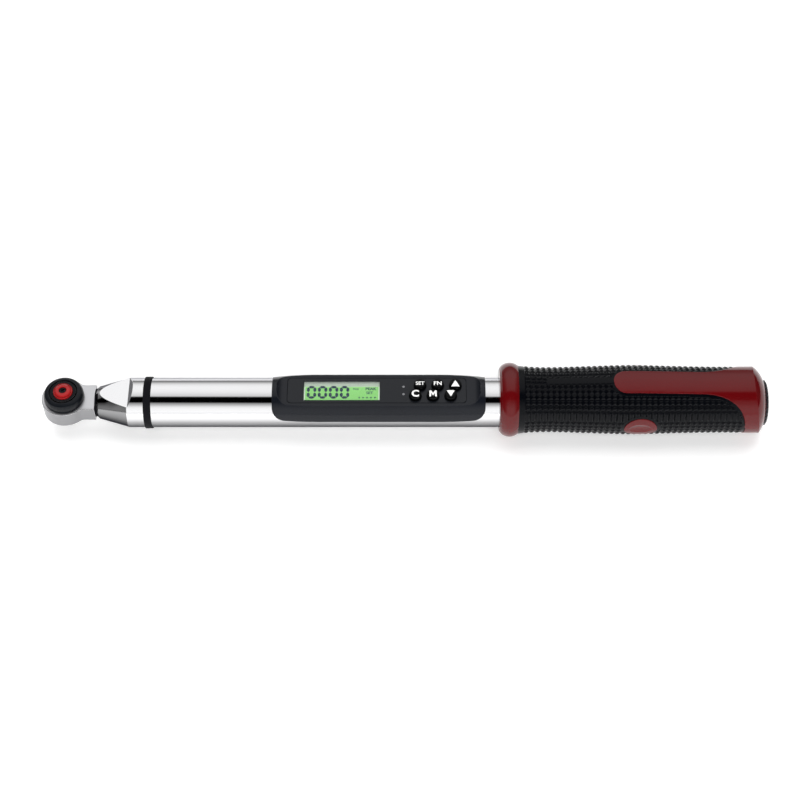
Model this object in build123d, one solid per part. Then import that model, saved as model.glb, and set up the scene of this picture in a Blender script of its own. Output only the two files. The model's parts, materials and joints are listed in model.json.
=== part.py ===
from build123d import *
import os
from math import cos, pi, radians, sin, sqrt

# Digital torque wrench with a quarter-inch square drive. Millimetres.
# +X runs from the ratchet head to the grip, +Z is the display side.
# The origin is where the drive's axis crosses the tube's axis.

# Tube
TUBE_R = 12.7
TUBE_BORE = 11.05
NOSE_X = 16.8
NOSE_R = 7.9
NOSE_END = 33.0
NOSE_FLAT_Z = 8.6
NOSE_BORE = 6.9
SEAL_GAP = (15.95, 16.75)
BORE_X = 38.0
TUBE_END = 349.0
RING_X = (41.4, 45.2)
PIVOT_X, PIVOT_R = 43.3, 2.0
BEAM_PIN_X = 104.0
WINDOW_X = (109.2, 213.3)
WINDOW_Y = 9.2

# Ratchet head
HEAD_R = 11.55
HEAD_T = 9.4
NECK_Y = 7.75
NECK_END = 15.9
SHANK_Y, SHANK_Z, SHANK_END = 5.5, 3.4, 56.0
SPIGOT_R, SPIGOT_END = 4.0, 68.0
DOWEL_X, DOWEL_R = 63.0, 1.5
FLOOR_Z = -2.9
COVER_Z = (3.3, 4.6)
COVER_R = 9.95
COLLAR_R, COLLAR_BORE, COLLAR_TOP = 6.6, 5.1, 9.4
SNAP_Z, SNAP_FLOOR = (7.35, 7.95), 6.25
COVER_SCREW_R, COVER_SCREW_HEAD, COVER_SCREW_RING = 0.75, 1.35, 8.2

# Drive gear and quick release
SQUARE = 6.35
SQUARE_Z = (-13.0, -5.3)
TEETH = 36
GEAR_TIP, GEAR_ROOT = 5.9, 5.35
HUB_TOP = 3.5
GEAR_Z = (-2.8, 2.8)
SPRING_SEAT = 0.2
BALL_R, BALL_X, BALL_Z = 1.1, 2.75, -9.6
PIN_R = 1.45
BUTTON_R, BUTTON_Z, BUTTON_TOP = 4.9, 5.15, 10.95
BUTTON_WELL, PIN_HEAD = 2.0, (9.9, 10.3)
BUTTON_TRAVEL, BALL_TRAVEL = 1.5, 0.6

# Direction dial and pawl
DIAL_R, DIAL_Z, DIAL_TOP, DIAL_RING = 10.25, 4.8, 9.6, 7.4
DIAL_HALF_TURN = 22.0
PAWL_HALF_TURN = 5.5
SHIFT_R = 7.4
PAWL_PIVOT, PAWL_PIN_R = 8.6, 0.74
SHIFT_PIN_R, SHIFT_PIN_Z = 0.7, (1.3, 6.6)
PAWL_INNER, PAWL_OUTER, PAWL_SPAN = 6.15, 8.7, 40.0
DETENT_R, DETENT_ANGLE = 8.5, 150.0

# Display housing
HOUSE_X = (106.9, 215.6)
HOUSE_END_R, HOUSE_R, HOUSE_RISE = 13.1, 14.4, 23.0
HOUSE_INNER = 12.75
TOP_Z = 10.5
SCOOP_X = (115.0, 207.5)
SCOOP_RUN = 6.0
EDGE_Z = 2.6
EDGE_CORNER = 6.5
PLATE_Z = 8.6
PANEL_X, PANEL_Y, PANEL_T, PANEL_GAP = (114.8, 205.7), 7.7, 0.8, 0.25
LCD_X, LCD_Y = (123.1, 161.7), 6.05
LED_X, LED_Y = 173.9, 2.35
LED_R, LAMP_T = 0.68, 0.7
KEY_R, KEY_TOP, KEY_BASE = 3.1, 13.0, 7.3
KEY_PITCH, KEY_SHIFT = 9.0, 2.45
KEY_ROW_X, KEY_ROW_Y = 179.9, (-3.6, 2.8)
KEYS = (
    ("key_clear", 0, 0),
    ("key_memory", 1, 0),
    ("key_down", 2, 0),
    ("key_units", 0, 1),
    ("key_function", 1, 1),
    ("key_up", 2, 1),
)
SHEET_Z = (7.5, 8.3)
BOARD_X, BOARD_Y, BOARD_Z = (116.2, 206.4), 7.4, (3.6, 5.2)
LENS_Z, LCD_Z = (9.1, 9.68), (6.4, 9.05)
POST_X, POST_R = (113.4, 209.2), 2.4
HOUSE_SCREW_R, HOUSE_SCREW_HEAD = 1.0, 2.5

# Grip, turned about an axis above the tube's
GRIP_LIFT, GRIP_TURN = 2.5, 3.3
GRIP_X = (222.8, 358.2)
FLANGE_R, FLANGE_PEAK, FLANGE_END = 19.05, 227.9, 232.3
FLANGE_FLAT = 18.8
COVER_END = 347.8
LINER_WALL = 13.4
TONGUE_TIP, TONGUE_Y = 280.3, 6.6
FLARE = ((325, TONGUE_Y), (335.5, 8.2), (343.5, 12.5), (COVER_END, 17.6))
OVAL_X, OVAL_HALF_X, OVAL_HALF_Z = 294.4, 8.3, 6.9
CAP_R, CAP_THREAD_R, CAP_START, CAP_X, CAP_END = 11.6, 9.9, 350.4, 356.6, 359.9
CAP_RIBS, RIB_R = 30, 0.5
SEAL_X, SEAL_R, SEAL_WIRE = 355.2, 9.2, 0.68
LINER_X, LINER_FLOOR = (239.5, 346.0), 243.0
BATTERY_R, BATTERY_LENGTH, BATTERY_X = 7.1, 50.0, 244.6


def block(x, y, z):
    """A box between two X, two Y and two Z values."""
    box = Box(x[1] - x[0], y[1] - y[0], z[1] - z[0])
    return Pos((x[0] + x[1]) / 2, (y[0] + y[1]) / 2, (z[0] + z[1]) / 2) * box


def rod_z(r, z, x=0.0, y=0.0):
    """A cylinder along Z between two heights."""
    return Pos(x, y, (z[0] + z[1]) / 2) * Cylinder(r, z[1] - z[0])


def rod_x(r, x, y=0.0, z=0.0):
    """A cylinder along X between two stations."""
    return Pos((x[0] + x[1]) / 2, y, z) * Rot(0, 90, 0) * Cylinder(r, x[1] - x[0])


def spun_x(points, lift=0.0):
    """Turns an (x, r) polygon about an axis along X, lift above the tube's."""
    face = make_face(Polyline(*[(x, 0, r) for x, r in points], close=True))
    return Pos(0, 0, lift) * revolve(face, Axis.X, 360)


def spun_z(points):
    """Turns an (r, z) polygon about the drive's axis."""
    face = make_face(Polyline(*[(r, 0, z) for r, z in points], close=True))
    return revolve(face, Axis.Z, 360)


def upright(sketch, z):
    """Extrudes a plan sketch between two heights."""
    return Pos(0, 0, z[0]) * extrude(sketch, z[1] - z[0])


def polar(r, angle):
    return (r * cos(radians(angle)), r * sin(radians(angle)))


def turned(shape, angle):
    """Turns a shape about the pawl's pivot."""
    return Pos(PAWL_PIVOT, 0, 0) * Rot(0, 0, angle) * Pos(-PAWL_PIVOT, 0, 0) * shape


def arc_slot(r, start, end, half_width, z):
    """A slot along an arc about the drive's axis."""
    arc = CenterArc((0, 0), r, start, end - start)
    return upright(SlotArc(arc, 2 * half_width), z)


def torque_tube():
    """Chromed tube with a swaged nose, two nose flats and the display window."""
    shell = spun_x([
        (NOSE_X, NOSE_BORE), (NOSE_X, NOSE_R - 0.6), (NOSE_X + 1.1, NOSE_R + 0.45),
        (NOSE_END, TUBE_R), (TUBE_END, TUBE_R), (TUBE_END, TUBE_BORE),
        (BORE_X, TUBE_BORE), (BORE_X, NOSE_BORE),
    ])
    ramp_run = 2.7
    for side in (1, -1):
        flat = make_face(Polyline(
            (NOSE_X - 1, 0, side * NOSE_FLAT_Z), (NOSE_END + 0.4, 0, side * NOSE_FLAT_Z),
            (NOSE_END + 0.4 + ramp_run, 0, side * (TUBE_R + 0.1)), (NOSE_X - 1, 0, side * (TUBE_R + 0.1)),
            close=True,
        ))
        shell -= extrude(flat, amount=TUBE_R + 1, dir=(0, 1, 0), both=True)
    shell -= block(WINDOW_X, (-WINDOW_Y, WINDOW_Y), (0, TUBE_R + 1))
    shell -= rod_z(PIVOT_R, (-TUBE_R - 1, TUBE_R + 1), PIVOT_X)
    shell -= rod_z(PIVOT_R, (-TUBE_R - 1, 0), BEAM_PIN_X)
    for x in POST_X:
        shell -= rod_z(HOUSE_SCREW_R + 0.3, (-TUBE_R - 1, 0), x)
        shell -= rod_z(HOUSE_SCREW_HEAD + 0.1, (-TUBE_R - 1, -TUBE_R + 0.9), x)
    return shell


def head_outline():
    """Plan of the head: a round end that sweeps into the neck."""
    fillet = 5.0
    centre_y = NECK_Y + fillet
    centre_x = sqrt((HEAD_R + fillet) ** 2 - centre_y**2)
    plan = Circle(HEAD_R) + Pos(NECK_END / 2, 0) * Rectangle(NECK_END, 2 * NECK_Y)
    for side in (1, -1):
        web = make_face(Polyline(
            (0, 0), (centre_x, 0), (centre_x, side * centre_y), close=True,
        ))
        plan += web - Pos(centre_x, side * centre_y) * Circle(fillet)
    return plan


def head_pocket():
    """Room for the gear and the pawl behind it, open at the top."""
    z = (FLOOR_Z, HEAD_T)
    reach = PAWL_OUTER + 0.85
    wedge = make_face(Polyline((0, 0), polar(14, 52), (14, 0), polar(14, -52), close=True))
    pocket = upright(Circle(6.2) + (Circle(reach) & wedge), z)
    pocket += block((7, PAWL_PIVOT + 1.5), (-1.9, 1.9), z)
    pocket += rod_z(COVER_R + 0.05, (COVER_Z[0], HEAD_T))
    return pocket + rod_z(5.15, (-HEAD_T, 0))


def ratchet_head():
    """Forged head, its neck and the shank that runs into the tube."""
    half = HEAD_T / 2
    body = upright(head_outline(), (-half, half))
    rims = body.edges().filter_by(Plane.XY).filter_by(lambda e: e.center().X < NECK_END - 0.1)
    body = chamfer(rims, 0.35)
    body += block((NECK_END - 1, SHANK_END), (-SHANK_Y, SHANK_Y), (-SHANK_Z, SHANK_Z))
    body += rod_x(SPIGOT_R, (SHANK_END - 1, SPIGOT_END))
    body -= head_pocket()
    body -= rod_z(PAWL_PIN_R + 0.01, (-4.2, 0), PAWL_PIVOT)
    body -= rod_z(PIVOT_R, (-HEAD_T, HEAD_T), PIVOT_X)
    body -= rod_z(DOWEL_R, (-HEAD_T, HEAD_T), DOWEL_X)
    for x, y in screw_spots():
        body -= rod_z(COVER_SCREW_R, (-0.6, HEAD_T), x, y)
    return body


def screw_spots():
    return [polar(COVER_SCREW_RING, angle) for angle in (75, 180, 285)]


def head_cover():
    """Steel cover with the collar that the dial turns on."""
    top = COVER_Z[1]
    cover = rod_z(COVER_R, COVER_Z) + rod_z(COLLAR_R, (COVER_Z[0], COLLAR_TOP))
    cover -= rod_z(COLLAR_BORE, (0, HEAD_T))
    cover -= rod_z(COLLAR_R + 1, SNAP_Z) - rod_z(SNAP_FLOOR, SNAP_Z)
    cover -= arc_slot(SHIFT_R, -30, 30, 0.95, (0, top + 0.01))
    cover -= arc_slot(DETENT_R, DETENT_ANGLE - 50, DETENT_ANGLE + 6, 0.7, (top - 0.4, top + 1))
    for x, y in screw_spots():
        cover -= rod_z(COVER_SCREW_R, (0, HEAD_T), x, y)
        cover -= rod_z(COVER_SCREW_HEAD, (top - 0.7, HEAD_T), x, y)
    return cover


def cover_screws():
    """Three small socket screws, flush with the cover."""
    top = COVER_Z[1]
    screws = []
    for x, y in screw_spots():
        screw = rod_z(COVER_SCREW_HEAD - 0.05, (top - 0.7, top - 0.02), x, y)
        screw += rod_z(COVER_SCREW_R, (-0.5, top - 0.5), x, y)
        screws.append(screw - upright(Pos(x, y) * RegularPolygon(0.6, 6), (top - 0.5, top + 1)))
    return Compound(children=screws)


def gear_profile(gap=0.0):
    """Symmetric ratchet teeth, so that the pawl drives either way."""
    points = []
    step = 360 / TEETH
    for tooth in range(TEETH):
        middle = tooth * step
        points.append(polar(GEAR_ROOT + gap, middle - step / 2))
        points.append(polar(GEAR_TIP + gap, middle - 0.1 * step))
        points.append(polar(GEAR_TIP + gap, middle + 0.1 * step))
    return make_face(Polyline(*points, close=True))


def drive_gear():
    """Ratchet gear, its hubs and the square drive in one piece."""
    gear = upright(gear_profile(), GEAR_Z)
    gear += rod_z(5.0, (2.5, HUB_TOP)) + rod_z(5.05, (SQUARE_Z[1], 0))
    square = upright(Rectangle(SQUARE, SQUARE), (SQUARE_Z[0], SQUARE_Z[1] + 1))
    square = chamfer(square.edges().filter_by(Axis.Z), 0.45)
    square = chamfer(square.faces().sort_by(Axis.Z)[0].edges(), 0.5)
    gear += square
    gear -= rod_z(PIN_R + 0.1, (SQUARE_Z[0] + 0.7, HEAD_T)) + rod_z(2.7, (SPRING_SEAT, HEAD_T))
    return gear - rod_x(BALL_R + 0.03, (1.0, 4.0), z=BALL_Z)


def pawl():
    """Rocking pawl with teeth at both ends and a cam slot in its back."""
    span = PAWL_SPAN
    z = GEAR_Z
    wedge = make_face(Polyline((0, 0), polar(14, span), (14, 0), polar(14, -span), close=True))
    middle = make_face(Polyline((0, 0), polar(14, 22), (14, 0), polar(14, -22), close=True))
    plan = (Circle(PAWL_OUTER) - Circle(GEAR_ROOT)) & wedge
    plan -= Circle(PAWL_INNER) & middle
    plan += Pos(PAWL_PIVOT, 0) * Circle(1.25)
    body = upright(plan, z)
    teeth = upright(gear_profile(0.07), (z[0] - 1, z[1] + 1))
    body -= turned(teeth, -PAWL_HALF_TURN)
    body -= turned(teeth, PAWL_HALF_TURN)
    body -= rod_z(PAWL_PIN_R + 0.05, (z[0] - 1, 0.8), PAWL_PIVOT)
    end_x, end_y = polar(SHIFT_R, DIAL_HALF_TURN)
    back = turned(Pos(end_x, end_y, 0) * Sphere(0.01), -PAWL_HALF_TURN).center()
    slot_arc = ThreePointArc((back.X, -back.Y), (SHIFT_R, 0), (back.X, back.Y))
    body -= upright(SlotArc(slot_arc, 1.66), (1.0, 5.0))
    return turned(body, PAWL_HALF_TURN)


def pawl_pin():
    return rod_z(PAWL_PIN_R, (-4.2, 0.6), PAWL_PIVOT)


def direction_dial():
    """Turning dial: a ring with a rounded shoulder round the button's well."""
    dial = spun_z([
        (COLLAR_R + 0.08, DIAL_Z), (DIAL_R, DIAL_Z), (10.1, 7.4), (9.5, 8.7), (DIAL_RING, DIAL_TOP),
        (DIAL_RING - 0.05, 9.3), (DIAL_RING - 0.1, 7.2), (COLLAR_R + 0.08, 7.2),
    ])
    x, y = polar(SHIFT_R, DIAL_HALF_TURN)
    dial -= rod_z(SHIFT_PIN_R, (DIAL_Z - 1, SHIFT_PIN_Z[1]), x, y)
    x, y = polar(DETENT_R, DETENT_ANGLE)
    return dial - rod_z(0.72, (DIAL_Z - 1, 7.6), x, y)


def shift_pin():
    x, y = polar(SHIFT_R, DIAL_HALF_TURN)
    return rod_z(SHIFT_PIN_R, SHIFT_PIN_Z, x, y)


def detent_ball():
    x, y = polar(DETENT_R, DETENT_ANGLE)
    return Pos(x, y, COVER_Z[1] + 0.3) * Sphere(0.6)


def detent_spring():
    x, y = polar(DETENT_R, DETENT_ANGLE)
    return rod_z(0.6, (COVER_Z[1] + 1.0, 7.5), x, y) - rod_z(0.35, (0, 9), x, y)


def dial_snap_ring():
    """Split ring in the collar's groove, over the dial's inner flange."""
    z = (SNAP_Z[0] + 0.05, SNAP_Z[1] - 0.05)
    ring = rod_z(7.1, z) - rod_z(SNAP_FLOOR + 0.05, z)
    return ring - block((-8, -4), (-0.9, 0.9), z)


def release_button():
    """Button with a grooved, domed top round the pin's head."""
    button = spun_z([
        (1.5, BUTTON_Z), (BUTTON_R, BUTTON_Z), (BUTTON_R, 9.95), (4.75, 10.1), (4.6, 10.1), (4.5, 9.6),
        (4.2, 9.6), (4.1, 10.3), (3.5, 10.7), (BUTTON_WELL + 0.2, BUTTON_TOP), (BUTTON_WELL, 10.85),
        (BUTTON_WELL, PIN_HEAD[0]), (1.5, PIN_HEAD[0]),
    ])
    return button - (rod_z(2.75, (BUTTON_Z - 1, 6.5)) - rod_z(1.6, (0, 9)))


def release_pin():
    """Pin under the button; its cone lets the ball in as it goes down."""
    slope = BALL_TRAVEL / BUTTON_TRAVEL
    low = BALL_Z + BUTTON_TRAVEL
    narrow = PIN_R - slope * BUTTON_TRAVEL
    return spun_z([
        (0, -10.6), (PIN_R, -10.6), (PIN_R, BALL_Z), (narrow, low), (narrow, low + 0.4), (PIN_R, low + 1.0),
        (PIN_R, PIN_HEAD[0]), (BUTTON_WELL - 0.05, PIN_HEAD[0]), (BUTTON_WELL - 0.05, PIN_HEAD[1]),
        (1.15, PIN_HEAD[1]), (1.0, PIN_HEAD[1] - 0.8), (0, PIN_HEAD[1] - 0.8),
    ])


def coil(r, wire, pitch, height, place):
    """A compression spring of round wire."""
    path = Helix(pitch, height, r)
    start = Plane(origin=path @ 0, z_dir=path % 0)
    return place * sweep(start * Circle(wire), path=path, is_frenet=True)


def release_spring():
    return coil(2.1, 0.25, 1.15, 5.6, Pos(0, 0, 0.5))


def socket_ball():
    return Pos(BALL_X, 0, BALL_Z) * Sphere(BALL_R)


def nose_seal():
    """Dark washer round the shank, between the neck and the nose."""
    washer = rod_x(7.15, SEAL_GAP)
    return washer - block((SEAL_GAP[0] - 1, SEAL_GAP[1] + 1), (-SHANK_Y, SHANK_Y), (-SHANK_Z, SHANK_Z))


def nose_ring():
    """Rubber ring over the pivot pin's ends."""
    a, b = RING_X
    inner, outer, bevel = TUBE_R + 0.02, TUBE_R + 0.6, 0.25
    half = [(b, inner), (b, outer - bevel), (b - bevel, outer)]
    return spun_x([(a, inner), (a, outer - bevel), (a + bevel, outer), *reversed(half)])


def pivot_pin():
    return rod_z(PIVOT_R - 0.02, (-TUBE_R + 0.25, TUBE_R - 0.25), PIVOT_X)


def strain_beam():
    """Bar that bends under load: a socket, a thin web and a pinned block."""
    beam = rod_x(7.0, (58, 73)) + block((72, 94), (-2.5, 2.5), (-6, 6)) + rod_x(11.0, (93, 108))
    beam -= rod_x(SPIGOT_R + 0.02, (57, SPIGOT_END + 0.3))
    beam -= rod_z(DOWEL_R, (-8, 8), DOWEL_X)
    beam -= rod_z(PIVOT_R, (-12, 0), BEAM_PIN_X)
    return beam - rod_x(1.4, (90, 110), y=6.5, z=2.5)


def beam_dowel():
    return rod_z(DOWEL_R - 0.01, (-6.8, 6.8), DOWEL_X)


def beam_pin():
    return rod_z(PIVOT_R - 0.02, (-TUBE_R + 0.2, -0.2), BEAM_PIN_X)


def strain_gauges():
    """Four foil gauges, two on each side of the beam's web."""
    spots = [(x, side) for x in (79, 88) for side in (1, -1)]
    return Compound(children=[
        block((x - 3, x + 3), sorted((side * 2.5, side * 2.7)), (-2.2, 2.2)) for x, side in spots
    ])


def wire_run(points, r):
    """A cable along straight runs joined by tangent arcs."""
    radii = []
    for a, b, c in zip(points, points[1:], points[2:]):
        before, after = Vector(*b) - Vector(*a), Vector(*c) - Vector(*b)
        half_turn = radians(before.get_angle(after)) / 2
        radii.append(0.45 * min(before.length, after.length) * cos(half_turn) / sin(half_turn))
    path = FilletPolyline(*points, radius=radii)
    start = Plane(origin=path @ 0, z_dir=path % 0)
    return sweep(start * Circle(r), path=path)


def gauge_cable():
    route = [(84, 3.4, 0.5), (91, 6.2, 2.3), (103, 6.5, 2.5), (112, 6.3, 1.6), (119, 4.2, 2.5)]
    return wire_run(route, 0.6)


def battery_cable():
    route = [(199, 3.5, 2.05), (207, 4.9, 0.4), (217, 5.4, -2.4), (229, 3.2, -1.9), (239.8, 0.6, 0.2)]
    return wire_run(route, 0.8)


def house_profile():
    """Side outline of the housing: full in the middle, thin at its ends."""
    a, b = HOUSE_X
    side = HOUSE_R - HOUSE_END_R
    bow = (HOUSE_RISE**2 + side**2) / (2 * side)
    half = HOUSE_RISE / 2
    mid_r = HOUSE_R - bow + sqrt(bow**2 - half**2)
    return (
        Line((a, 0, 0), (a, 0, HOUSE_END_R))
        + ThreePointArc((a, 0, HOUSE_END_R), (a + half, 0, mid_r), (a + HOUSE_RISE, 0, HOUSE_R))
        + Line((a + HOUSE_RISE, 0, HOUSE_R), (b - HOUSE_RISE, 0, HOUSE_R))
        + ThreePointArc((b - HOUSE_RISE, 0, HOUSE_R), (b - half, 0, mid_r), (b, 0, HOUSE_END_R))
        + Line((b, 0, HOUSE_END_R), (b, 0, 0))
        + Line((b, 0, 0), (a, 0, 0))
    )


def scoop():
    """What is cut off the top: a flat that curves up at both ends."""
    a, b = SCOOP_X
    rise = HOUSE_END_R + 0.2 - TOP_Z
    bow = (SCOOP_RUN**2 + rise**2) / (2 * rise)
    mid_z = TOP_Z + bow - sqrt(bow**2 - (SCOOP_RUN / 2) ** 2)
    top = TOP_Z + rise
    lid = 20
    outline = (
        Line((a, 0, TOP_Z), (b, 0, TOP_Z))
        + ThreePointArc((b, 0, TOP_Z), (b + SCOOP_RUN / 2, 0, mid_z), (b + SCOOP_RUN, 0, top))
        + Polyline((b + SCOOP_RUN, 0, top), (b + SCOOP_RUN, 0, lid), (a - SCOOP_RUN, 0, lid))
        + Line((a - SCOOP_RUN, 0, lid), (a - SCOOP_RUN, 0, top))
        + ThreePointArc((a - SCOOP_RUN, 0, top), (a - SCOOP_RUN / 2, 0, mid_z), (a, 0, TOP_Z))
    )
    return extrude(make_face(outline), amount=20, dir=(0, 1, 0), both=True)


def house_side():
    """Side view that trims the lower edge and rounds its corners."""
    a, b = HOUSE_X
    view = Pos((a + b) / 2, EDGE_Z + 10) * Rectangle(b - a, 20)
    corners = view.vertices().group_by(Axis.Y)[0]
    view = fillet(corners, EDGE_CORNER)
    return extrude(Plane.XZ * view, amount=20, both=True)


def key_spots():
    for name, column, row in KEYS:
        yield name, KEY_ROW_X + column * KEY_PITCH + row * KEY_SHIFT, KEY_ROW_Y[row]


def display_housing():
    """Moulded saddle over the tube, with its top plate and screw posts."""
    solid = revolve(make_face(house_profile()), Axis.X, 360) & house_side()
    saddle = solid - rod_x(HOUSE_INNER, (HOUSE_X[0] - 1, HOUSE_X[1] + 1))
    inside = block((WINDOW_X[0] + 0.1, WINDOW_X[1] - 0.1), (-WINDOW_Y + 0.1, WINDOW_Y - 0.1), (PLATE_Z, 20))
    saddle += solid & inside
    saddle -= scoop()
    for x in POST_X:
        saddle += rod_z(POST_R, (-9.8, PLATE_Z + 0.5), x)
        saddle -= rod_z(HOUSE_SCREW_R, (-10, 4), x)
    ax, bx = PANEL_X
    saddle -= rounded_plate((ax - PANEL_GAP, bx + PANEL_GAP), PANEL_Y + PANEL_GAP, (TOP_Z - PANEL_T, 20))
    saddle -= rounded_plate((LCD_X[0] - 1.6, LCD_X[1] + 1.6), LCD_Y + 1.3, (0, 20), 0.5)
    saddle -= key_holes((0, 20))
    return saddle


def rounded_plate(x, half_y, z, corner=2.0):
    plan = Pos((x[0] + x[1]) / 2, 0) * RectangleRounded(x[1] - x[0], 2 * half_y, corner)
    return upright(plan, z)


def key_holes(z, extra=0.2):
    holes = [rod_z(KEY_R + extra, z, x, y) for _, x, y in key_spots()]
    holes += [rod_z(LED_R, z, LED_X, side * LED_Y) for side in (1, -1)]
    return Compound(children=holes)


def housing_screws():
    """Two long screws from under the tube into the housing's posts."""
    screws = []
    for x in POST_X:
        screw = rod_z(HOUSE_SCREW_HEAD - 0.1, (-TUBE_R - 0.1, -TUBE_R + 0.85), x)
        screw += rod_z(HOUSE_SCREW_R - 0.02, (-TUBE_R + 0.5, 3.5), x)
        screws.append(screw - upright(Pos(x, 0) * RegularPolygon(1.1, 6), (-TUBE_R - 1, -TUBE_R + 0.5)))
    return Compound(children=screws)


def display_panel():
    """Bezel sheet with its display opening and key holes."""
    panel = rounded_plate(PANEL_X, PANEL_Y, (TOP_Z - PANEL_T, TOP_Z))
    panel -= block(LCD_X, (-LCD_Y, LCD_Y), (0, 20))
    return panel - key_holes((0, 20))


def display_lens():
    return block((LCD_X[0] - 1.2, LCD_X[1] + 1.2), (-LCD_Y - 1, LCD_Y + 1), LENS_Z)


def lcd_module():
    return block((LCD_X[0] - 1.4, LCD_X[1] + 1.4), (-LCD_Y - 1.1, LCD_Y + 1.1), LCD_Z)


def backlight():
    return block((LCD_X[0] - 1.4, LCD_X[1] + 1.4), (-LCD_Y - 1.1, LCD_Y + 1.1), (BOARD_Z[1], LCD_Z[0] - 0.05))


def main_board():
    board = block(BOARD_X, (-BOARD_Y, BOARD_Y), BOARD_Z)
    for x in (118.0, 204.6):
        board -= rod_z(0.9, (0, 9), x, 5.6)
    return board


def key_switches():
    """Six tactile switches on the board."""
    floor = BOARD_Z[1]
    parts = []
    for _, x, y in key_spots():
        body = block((x - 2.2, x + 2.2), (y - 2.2, y + 2.2), (floor, floor + 1.0))
        parts.append(body + rod_z(1.1, (floor + 0.9, floor + 1.4), x, y))
    return Compound(children=parts)


def keypad_sheet():
    """Silicone sheet that carries the keys."""
    return block((174.8, 204.0), (-BOARD_Y, BOARD_Y), SHEET_Z) - key_holes((0, 20), 0.4)


def key(x, y):
    """Domed key with a flange under the plate and a short stem."""
    stem_r, flange_r, flange_z = 1.2, KEY_R + 0.2, (KEY_BASE + 0.3, KEY_BASE + 0.95)
    dome_r = 2.35
    return Pos(x, y, 0) * spun_z([
        (0, KEY_BASE), (stem_r, KEY_BASE), (stem_r, flange_z[0]), (flange_r, flange_z[0]),
        (flange_r, flange_z[1]), (KEY_R, flange_z[1]), (KEY_R, KEY_TOP - 0.9),
        (dome_r + 0.5, KEY_TOP - 0.35), (dome_r, KEY_TOP - 0.12), (1.0, KEY_TOP), (0, KEY_TOP),
    ])


def status_lights():
    """Two light pipes over their lamps."""
    return Compound(children=[
        rod_z(LED_R - 0.04, (BOARD_Z[1] + LAMP_T, TOP_Z - 0.02), LED_X, side * LED_Y) for side in (1, -1)
    ])


def status_lamps():
    x, z = (LED_X - 1, LED_X + 1), (BOARD_Z[1], BOARD_Z[1] + LAMP_T)
    return Compound(children=[
        block(x, (side * LED_Y - 0.6, side * LED_Y + 0.6), z) for side in (1, -1)
    ])


def buzzer():
    """Round sounder with a small hole in its face."""
    x = 190.0
    return rod_z(4.2, (0.8, BOARD_Z[0]), x) - rod_z(0.8, (0, 1.6), x)


def processor():
    return block((140, 150), (-5, 5), (2.4, BOARD_Z[0]))


def board_sockets():
    """Two sockets under the board, for the batteries and the gauges."""
    return block((196, 202), (-1, 6), (3.0, BOARD_Z[0])) + block((117, 121), (2, 6.4), (3.2, BOARD_Z[0]))


def grip_outline(end_x):
    """Half outline from the front face to end_x, as (x, r) about the raised axis."""
    a = GRIP_X[0]
    flange = ThreePointArc((a + 1.0, 0, 17.4), (FLANGE_PEAK, 0, FLANGE_R), (FLANGE_END, 0, 17.7))
    hand = Spline(
        (FLANGE_END, 0, 17.7), (240, 0, 16.95), (250, 0, 16.8), (268, 0, 17.3), (290, 0, 17.9),
        (312, 0, 17.4), (332, 0, 17.0), (345, 0, 17.05), (GRIP_X[1], 0, 17.15),
    )
    outline = (
        Line((a, 0, 0), (a, 0, 16.0)) + Line((a, 0, 16.0), (a + 1.0, 0, 17.4)) + flange + hand
        + Line((GRIP_X[1], 0, 17.15), (GRIP_X[1], 0, 0)) + Line((GRIP_X[1], 0, 0), (a, 0, 0))
    )
    solid = Pos(0, 0, GRIP_LIFT) * revolve(make_face(outline), Axis.X, 360)
    return solid & block((a - 1, end_x), (-30, 30), (-30, 30))


def rear_dome():
    """Rounds the grip's end about the tube's axis."""
    start, end = (351.0, 0, 19.9), (GRIP_X[1], 0, CAP_R + 0.15)
    outline = (
        Polyline((0, 0, 0), (0, 0, 30), (351.0, 0, 30), start)
        + ThreePointArc(start, (355.9, 0, 15.9), end)
        + Polyline(end, (GRIP_X[1], 0, 0), (0, 0, 0))
    )
    return revolve(make_face(outline), Axis.X, 360)


def red_zone():
    """Plan of the tongue that flares into the rear body, and both side ovals."""
    start = TONGUE_TIP + TONGUE_Y
    mirrored = [(x, -y) for x, y in reversed(FLARE)]
    flare = (
        Line((start, TONGUE_Y), (FLARE[0][0], TONGUE_Y))
        + Spline(*FLARE)
        + Polyline(FLARE[-1], (COVER_END, 22), (365, 22), (365, -22), (COVER_END, -22), mirrored[0])
        + Spline(*mirrored)
        + Line((FLARE[0][0], -TONGUE_Y), (start, -TONGUE_Y))
        + ThreePointArc((start, -TONGUE_Y), (TONGUE_TIP, 0), (start, TONGUE_Y))
    )
    top = upright(make_face(flare), (GRIP_LIFT, 30))
    oval = Plane.XZ * Pos(OVAL_X, GRIP_LIFT) * Ellipse(OVAL_HALF_X, OVAL_HALF_Z)
    marks = top + extrude(oval, amount=30, both=True)
    return rolled(marks) + block((COVER_END, 370), (-30, 30), (-30, 30))


def rolled(shape):
    """Turns the grip's tongue and ovals about the grip's axis."""
    return Pos(0, 0, GRIP_LIFT) * Rot(GRIP_TURN, 0, 0) * Pos(0, 0, -GRIP_LIFT) * shape


def oval_dishes():
    """Shallow hollows in both side ovals."""
    bowl = scale(Sphere(1), by=(9.0, 3.2, 7.0))
    spots = [Pos(OVAL_X, side * 20.3, GRIP_LIFT) * bowl for side in (1, -1)]
    return rolled(Compound(children=spots))


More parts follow.
